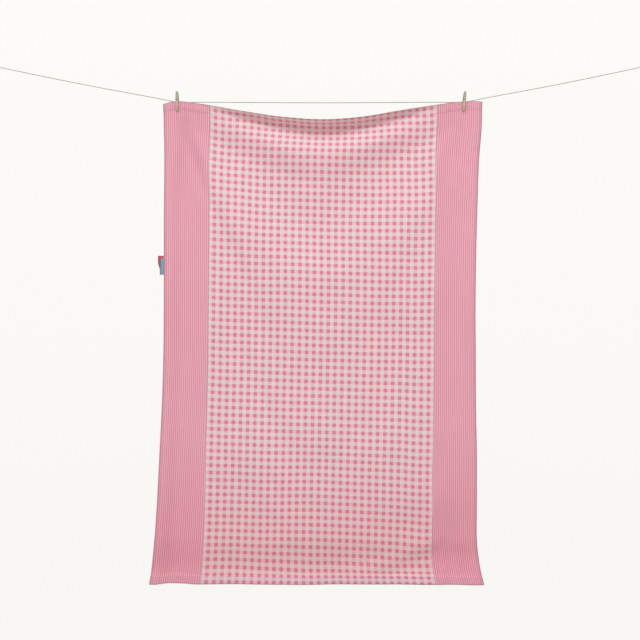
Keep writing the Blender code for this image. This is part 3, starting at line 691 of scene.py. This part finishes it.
def threadMaterial():
    # polyester sewing thread: a soft gloss on each stitch
    made, tree = newMaterial("polyesterThread", stitch["colour"], 0.55)
    at = addNode(tree, "ShaderNodeTexCoord").outputs["Object"]
    ply = addNode(tree, "ShaderNodeTexNoise", {"Vector": at, "Scale": 2600.0, "Detail": 1.0})
    return endMaterial(made, stitch["colour"], [(ply, stitch["deep"])])


def makeStitches(name, downAt, side, tree):
    across = np.linspace(-stitch["across"], stitch["across"], stitch["points"])
    x, y, z = clothSurface(across, np.array([downAt - stitch["near"], downAt, downAt + stitch["near"]]))
    fallY, fallZ = y[2] - y[0], z[2] - z[0]
    size = np.hypot(fallY, fallZ)
    outY, outZ = fallZ / size, -fallY / size  # square to the cloth, towards its face
    rise = side * (cloth["hemThick"] / 2 * stitch["rise"])
    points = np.stack([x[1], y[1] + outY * rise, z[1] + outZ * rise], axis=1)
    return finishPiece(followPath(name, points, tree, **stitchSizes), None, "pink_cotton")


threadTree = stitchTree(threadMaterial())
for name, downAt in (("topHem", cloth["stitchAt"]), ("bottomHem", cloth["long"] - cloth["stitchAt"])):
    for face, side in (("Front", 1), ("Back", -1)):
        makeStitches(name + "Stitches" + face, downAt, side, threadTree)
print("hems stitched")


# The label: two blank ribbons folded over and sewn in behind the left edge
ribbons = {
    "redRibbon": {"down": 0.5705, "tall": 0.058, "reach": 0.022, "taper": 0.009, "slant": 0.0,
                  "behind": 2, "colour": "#C8474F", "deep": "#A23342", "node": "red_ribbon"},
    "blueRibbon": {"down": 0.5875, "tall": 0.054, "reach": 0.015, "taper": 0.0, "slant": 0.014,
                   "behind": 1, "colour": "#869CB4", "deep": "#466A70", "node": "blue_ribbon"},
}
ribbonMake = {"thick": 0.001, "tuck": 0.012, "square": 0.5, "ribs": 0.0008, "edgeRound": 0.0003,
              "clear": 0.001}


def ribbonMaterial(name, ribbon, edge):
    # woven polyester ribbon: fine ribs across it and a silky gloss, with painted shade towards its outer end
    # where it folds over
    made, tree = newMaterial(name + "Satin", ribbon["colour"], 0.42, Sheen_Weight=0.2)
    at = addNode(tree, "ShaderNodeTexCoord").outputs["Object"]
    out, _, up = addNode(tree, "ShaderNodeSeparateXYZ", {0: at}).outputs
    turns = addNode(tree, "ShaderNodeMath", {0: up, 1: math.tau / ribbonMake["ribs"]}, operation="MULTIPLY")
    ribs = addNode(tree, "ShaderNodeMath", {0: turns}, operation="SINE")
    # painted shade: the deep colour grows towards the outer end, where the ribbon turns over
    fold = addNode(tree, "ShaderNodeMapRange",
                   {"Value": out, "From Min": edge - ribbon["reach"],
                    "From Max": edge - ribbon["reach"] * 0.45,
                    "To Min": 0.8, "To Max": 0.0}, interpolation_type="SMOOTHSTEP")
    mottle = addNode(tree, "ShaderNodeTexNoise", {"Vector": at, "Scale": 260.0})
    share = addNode(tree, "ShaderNodeMath",
                    {0: mottle, 1: 0.25, 2: fold}, operation="MULTIPLY_ADD", use_clamp=True)
    return endMaterial(made, ribbon["colour"], [(share, ribbon["deep"])], (ribs, 0.3, 0.0002))


def makeRibbon(name, ribbon):
    # square on top and tapered below, its top edge rising towards the cloth where it slants
    rows, outside, inside = 25, 7, 4
    fall = np.linspace(0, 1, rows)
    down = ribbon["down"] + ribbon["tall"] * fall
    edges = np.array([-1.0, -1 + ribbonMake["tuck"] / (cloth["wide"] / 2)])
    outer = np.stack(clothSurface(edges, down), axis=-1)[:, 0]
    near = np.stack(clothSurface(edges, down - ribbon["slant"] * (1 - fall)), axis=-1)
    foot = np.maximum(0.0, fall - ribbonMake["square"]) / (1 - ribbonMake["square"])
    outer[:, 0] += ribbon["taper"] * foot - ribbon["reach"]
    layer = ribbonMake["thick"] + gap
    behind = ribbonMake["clear"] + ribbon["behind"] * layer - ribbonMake["thick"] / 2
    columns = [outer + (near[:, 0] - outer) * t for t in np.linspace(0, 1, outside)[:-1]]
    columns += [near[:, 0] + (near[:, 1] - near[:, 0]) * t for t in np.linspace(0, 1, inside)]
    grid = np.stack(columns, axis=1)
    grid[..., 1] += behind
    piece = gridPiece(name, grid)[0]
    addModifier(piece, "thickness", "SOLIDIFY", thickness=ribbonMake["thick"] * 0.9, offset=0)
    addModifier(piece, "edges", "BEVEL", width=ribbonMake["edgeRound"], segments=2, limit_method="ANGLE")
    finish = ribbonMaterial(name, ribbon, float(near[0, 0, 0]))
    return finishPiece(asMesh(piece, name), finish, ribbon["node"], ribbon["node"])


labels = [makeRibbon(name, ribbon) for name, ribbon in ribbons.items()]
print("label sewn on")


# The pegs: two beech prongs and a wire spring each
peg = {
    "wide": 0.010, "long": 0.072, "grip": 0.034, "coilHigh": 0.0455, "coilRoom": 0.0041,
    "lineRoom": 0.0030, "wood": 0.008, "jaw": cloth["hemThick"] / 2 + gap, "wire": 0.0014,
    "coilRadius": 0.0028, "coilTurns": 3, "edgeRound": 0.0005,
    "handleFrom": 0.052, "handleTip": 0.72,  # the handles narrow from here up, to this share,
    "tipRound": 0.003, "tipShare": 0.12,  # and by this share more at their very tip
    "places": {"left": (line["leftPeg"], -1.0), "right": (line["rightPeg"], 4.6)},  # place and lean
    "woodLight": "#E0C4AE", "woodDeep": "#B08B74", "woodSideShade": "#8C6650", "woodGrey": "#A4A69B",
    "fleck": "#7E5B45", "wireLight": "#C3C4C0", "wireDeep": "#8E908C",
}


def beechMaterial():
    # beech left outdoors: fine grain with short flecks, greyed at the handles, and painted shade in brown
    # along its sides
    made, tree = newMaterial("weatheredBeech", peg["woodLight"], 0.68)
    place = addNode(tree, "ShaderNodeUVMap", uv_map="pegPlace")
    acrossPeg, upPeg = addNode(tree, "ShaderNodeSeparateXYZ", {0: place}).outputs[:2]
    at = addNode(tree, "ShaderNodeTexCoord").outputs["Object"]
    along = addNode(tree, "ShaderNodeMapping", {"Vector": at, "Scale": (900.0, 900.0, 60.0)})
    grain = addNode(tree, "ShaderNodeTexNoise",
                    {"Vector": along, "Scale": 1.0, "Detail": 4.0, "Roughness": 0.6})
    short = addNode(tree, "ShaderNodeMapping", {"Vector": at, "Scale": (2400.0, 2400.0, 420.0)})
    flecks = addNode(tree, "ShaderNodeTexNoise", {"Vector": short, "Scale": 1.0, "Detail": 1.0})
    patch = addNode(tree, "ShaderNodeTexNoise", {"Vector": at, "Scale": 90.0})
    pale = addNode(tree, "ShaderNodeMapRange", {"Value": grain, "From Min": 0.32, "From Max": 0.68})

    # painted shade in brown towards both sides, and grey from the line up
    offCentre = addNode(tree, "ShaderNodeMath", {0: acrossPeg}, operation="ABSOLUTE")
    side = addNode(tree, "ShaderNodeMapRange",
                   {"Value": offCentre, "From Min": 0.55, "From Max": 0.98, "To Max": 0.6},
                   interpolation_type="SMOOTHSTEP")
    height = addNode(tree, "ShaderNodeMapRange",
                     {"Value": upPeg, "From Min": peg["grip"] - 0.004, "From Max": peg["grip"] + 0.020,
                      "To Min": 0.05, "To Max": 0.85}, interpolation_type="SMOOTHSTEP")
    patchy = addNode(tree, "ShaderNodeMath", {0: patch, 1: 0.5}, operation="ADD")
    greyed = addNode(tree, "ShaderNodeMath", {0: height, 1: patchy}, operation="MULTIPLY", use_clamp=True)
    spots = addNode(tree, "ShaderNodeMath", {0: flecks, 1: 0.62}, operation="GREATER_THAN")
    spotted = addNode(tree, "ShaderNodeMath", {0: spots, 1: 0.35}, operation="MULTIPLY")
    layers = [(pale, peg["woodLight"]), (side, peg["woodSideShade"]), (greyed, peg["woodGrey"]),
              (spotted, peg["fleck"])]
    return endMaterial(made, peg["woodDeep"], layers, (grain, 0.4, 0.0003))


def wireMaterial():
    # galvanised spring wire: dull zinc grey, a little rougher in spots
    made, tree = newMaterial("galvanisedWire", peg["wireLight"], 0.38, Metallic=1.0)
    at = addNode(tree, "ShaderNodeTexCoord").outputs["Object"]
    spangle = addNode(tree, "ShaderNodeTexNoise", {"Vector": at, "Scale": 700.0})
    rough = addNode(tree, "ShaderNodeMapRange", {"Value": spangle, "To Min": 0.28, "To Max": 0.5})
    tree.links.new(rough.outputs[0], tree.nodes["Principled BSDF"].inputs["Roughness"])
    return endMaterial(made, peg["wireDeep"], [(spangle, peg["wireLight"])])


def springWireTree(material):
    # sweeps a round wire along a path
    tree, given = newTree("springWire", Thickness=peg["wire"])
    radius = addNode(tree, "ShaderNodeMath", {0: given["Thickness"], 1: 0.5}, operation="MULTIPLY")
    ring = addNode(tree, "GeometryNodeCurvePrimitiveCircle",
                   {"Resolution": 12, "Radius": radius}, mode="RADIUS")
    swept = addNode(tree, "GeometryNodeCurveToMesh",
                    {"Curve": given["Geometry"], "Profile Curve": ring, "Fill Caps": True})
    return endTree(tree, swept, material)


def arcPoints(centreY, centreZ, radius, start, stop, steps):
    turns = [math.radians(start + (stop - start) * i / steps) for i in range(steps + 1)]
    return [(centreY + radius * math.cos(turn), centreZ + radius * math.sin(turn)) for turn in turns]


def prongOutline(notched):
    # one prong from the side: out from the peg's middle plane, and up from the jaw's tip
    jaw, out, high = peg["jaw"], peg["jaw"] + peg["wood"], peg["coilHigh"]
    low = math.degrees(math.acos(jaw / peg["coilRoom"]))
    points = [(jaw, 0.001), (jaw, peg["grip"] - 0.009)]
    if notched:
        centre = -clothMiddle
        half = math.degrees(math.acos((centre - jaw) / peg["lineRoom"]))
        points += arcPoints(centre, peg["grip"], peg["lineRoom"], half - 180, 180 - half, 20)
    points += arcPoints(0, high, peg["coilRoom"], -low, low - 22, 14)
    points += [(gap, high + peg["coilRoom"] + 0.002), (gap, high + peg["coilRoom"] + 0.004),
               (0.0055, peg["long"] - 0.001), (0.0065, peg["long"]), (0.0105, peg["long"]),
               (0.0118, peg["long"] - 0.002), (out, high + 0.004), (out, high - 0.0015),
               (out - 0.001, high - 0.0022), (out - 0.001, high - 0.0042), (out, high - 0.005),
               (out, 0.014), (jaw + 0.0035, 0.0), (jaw + 0.001, 0.0)]
    return points


def pegFrame(side):
    # where a peg's jaw tip stands, turned by its lean about the line
    along, lean = peg["places"][side]
    grip = Vector((clothMid + along, clothMiddle, lineLow))
    turn = Matrix.Rotation(math.radians(lean), 4, "Y")
    return Matrix.Translation(grip) @ turn @ Matrix.Translation((0, 0, -peg["grip"]))


def makeProng(side, part, facing, material):
    name = side + "Peg" + part
    shape = bmesh.new()
    outline = [(facing * out, up) for out, up in prongOutline(facing > 0)]
    half = peg["wide"] / 2
    rings = [[shape.verts.new((x, y, z)) for y, z in outline] for x in (-half, half)]
    count = len(outline)
    for i in range(count):
        j = (i + 1) % count
        shape.faces.new((rings[0][i], rings[0][j], rings[1][j], rings[1][i]))
    shape.faces.new(rings[0][::-1])
    shape.faces.new(rings[1])
    # the handle narrows upwards in a soft curve
    for height in np.linspace(peg["handleFrom"], peg["long"] - 0.0008, 7):
        bmesh.ops.bisect_plane(shape, geom=shape.verts[:] + shape.edges[:] + shape.faces[:],
                               plane_co=(0, 0, height), plane_no=(0, 0, 1))
    for corner in shape.verts:
        up = float(ramp(peg["handleFrom"], peg["long"] + 0.004, corner.co.z))
        last = float(ramp(peg["long"] - peg["tipRound"], peg["long"], corner.co.z))
        corner.co.x *= 1 - (1 - peg["handleTip"]) * up - peg["tipShare"] * last
    bmesh.ops.recalc_face_normals(shape, faces=shape.faces)
    mesh = bpy.data.meshes.new(name)
    shape.to_mesh(mesh)
    shape.free()
    piece = newPiece(name, mesh)
    addModifier(piece, "edges", "BEVEL", width=peg["edgeRound"], segments=3, limit_method="ANGLE",
                angle_limit=math.radians(50))
    stands = pegFrame(side)
    piece.matrix_world = stands
    piece = asMesh(piece, name)

    # where each corner lies on the peg: across it from -1 to 1, and up from the jaw's tip
    back = stands.inverted()
    layer = piece.data.uv_layers.new(name="pegPlace")
    local = [back @ vertex.co for vertex in piece.data.vertices]
    for loop in piece.data.loops:
        at = local[loop.vertex_index]
        layer.data[loop.index].uv = (at.x / half, at.z)
    return finishPiece(piece, material, "beech", side + "_peg_" + part.lower(), smooth=False)


def springPath():
    # from its end on the front prong, round the coil, to its end on the back prong
    beside = peg["wide"] / 2 + gap + peg["wire"] / 2
    face = peg["jaw"] + peg["wood"] - 0.001 + gap + peg["wire"] / 2
    bridge = peg["coilHigh"] - 0.0032
    half = peg["coilTurns"] * (peg["wire"] + gap) / 2
    count = peg["coilTurns"] * 24
    coil = []
    for i in range(count + 1):
        turn = math.radians(-90 + peg["coilTurns"] * 360 * i / count)
        coil.append((-half + 2 * half * i / count, peg["coilRadius"] * math.cos(turn),
                     peg["coilHigh"] + peg["coilRadius"] * math.sin(turn)))
    low = peg["coilHigh"] - peg["coilRadius"]
    front = [(beside - 0.002, -face, bridge), (0.0, -face, bridge), (-beside + 0.0012, -face, bridge),
             (-beside + 0.0003, -face + 0.0004, bridge), (-beside, -face + 0.0014, bridge),
             (-beside, -face / 2, (bridge + low) / 2), (-beside, -0.0018, low),
             (-beside + 0.0003, -0.0008, low), (-beside + 0.0010, -0.0004, low)]
    return front + coil + [(-px, -py, pz) for px, py, pz in reversed(front)]


beech = beechMaterial()
wireTree = springWireTree(wireMaterial())
for side in peg["places"]:
    for part, facing in (("Front", -1), ("Back", 1)):
        makeProng(side, part, facing, beech)
    stands = pegFrame(side)
    bent = [stands @ Vector(point) for point in springPath()]
    spring = followPath(side + "PegSpring", bent, wireTree, Thickness=peg["wire"])
    finishPiece(spring, None, "steel_wire", side + "_peg_spring")
print("pegs clipped on")


# The studio: a pale floor under the cloth, a white surround and one large soft light
studio = {
    "floorHeight": -2.75, "floorCorners": ((-1.6, -1.6), (4.2, -1.6), (4.2, 1.6), (-1.6, 1.6)),
    "floor": "#E4E3DF", "floorFleck": "#DAD9D4",
    "above": "#FCFBF7", "below": "#F7F6F2", "blend": 0.33,  # what the camera sees round the cloth
    "fillLow": 0.81, "fillHigh": 0.74, "fillBelow": "#FFECE7", "fillAbove": "#F1FCFF",
    "keyPlace": (0.7, -7.0, 8.6), "keyAim": (1.25, 0, -0.95), "keySize": 5.0, "keyPower": 705.0,
}
floorMesh = bpy.data.meshes.new("studioFloor")
corners = [(x, y, studio["floorHeight"]) for x, y in studio["floorCorners"]]
floorMesh.from_pydata(corners, [], [(0, 1, 2, 3)])
floor = newPiece("studioFloor", floorMesh)
floorFinish, tree = newMaterial("paintedFloor", studio["floor"], 0.8)
at = addNode(tree, "ShaderNodeTexCoord").outputs["Object"]
cloudy = addNode(tree, "ShaderNodeTexNoise", {"Vector": at, "Scale": 3.0})
endMaterial(floorFinish, studio["floor"], [(cloudy, studio["floorFleck"])])
floor.data.materials.append(floorFinish)

world = bpy.data.worlds.new("studioLight")
bpy.context.scene.world = world
world.use_nodes = True
tree = world.node_tree
tree.nodes.clear()
seen = addNode(tree, "ShaderNodeLightPath")
direction = addNode(tree, "ShaderNodeTexCoord")
height = addNode(tree, "ShaderNodeSeparateXYZ", {0: direction.outputs["Generated"]}).outputs[2]
fill = addNode(tree, "ShaderNodeMapRange",
               {"Value": height, "From Min": -1.0, "From Max": 1.0, "To Min": studio["fillLow"],
                "To Max": studio["fillHigh"]})
tints = []
for reach, low, high in ((1.0, "fillBelow", "fillAbove"), (studio["blend"], "below", "above")):
    upward = addNode(tree, "ShaderNodeMapRange", {"Value": height, "From Min": -reach, "From Max": reach})
    ends = {6: linearColour(studio[low]), 7: linearColour(studio[high])}
    tints.append(addNode(tree, "ShaderNodeMix", {0: upward, **ends}, data_type="RGBA").outputs[2])
around = addNode(tree, "ShaderNodeBackground", {"Color": tints[0], "Strength": fill})
# painted shade: the surround the camera sees is a shade darker below than above
backdrop = addNode(tree, "ShaderNodeBackground", {"Color": tints[1], "Strength": 1.0})
chosen = addNode(tree, "ShaderNodeMixShader", {0: seen.outputs["Is Camera Ray"], 1: around, 2: backdrop})
addNode(tree, "ShaderNodeOutputWorld", {0: chosen})

key = bpy.data.lights.new("keyLight", "AREA")
key.size = studio["keySize"]
key.energy = studio["keyPower"]
keyLight = newPiece("keyLight", key)
keyLight.location = studio["keyPlace"]
keyLight.rotation_euler = (Vector(studio["keyAim"]) - keyLight.location).to_track_quat("-Z", "Y").to_euler()
bpy.context.scene.view_settings.view_transform = "Standard"
print("studio lit")
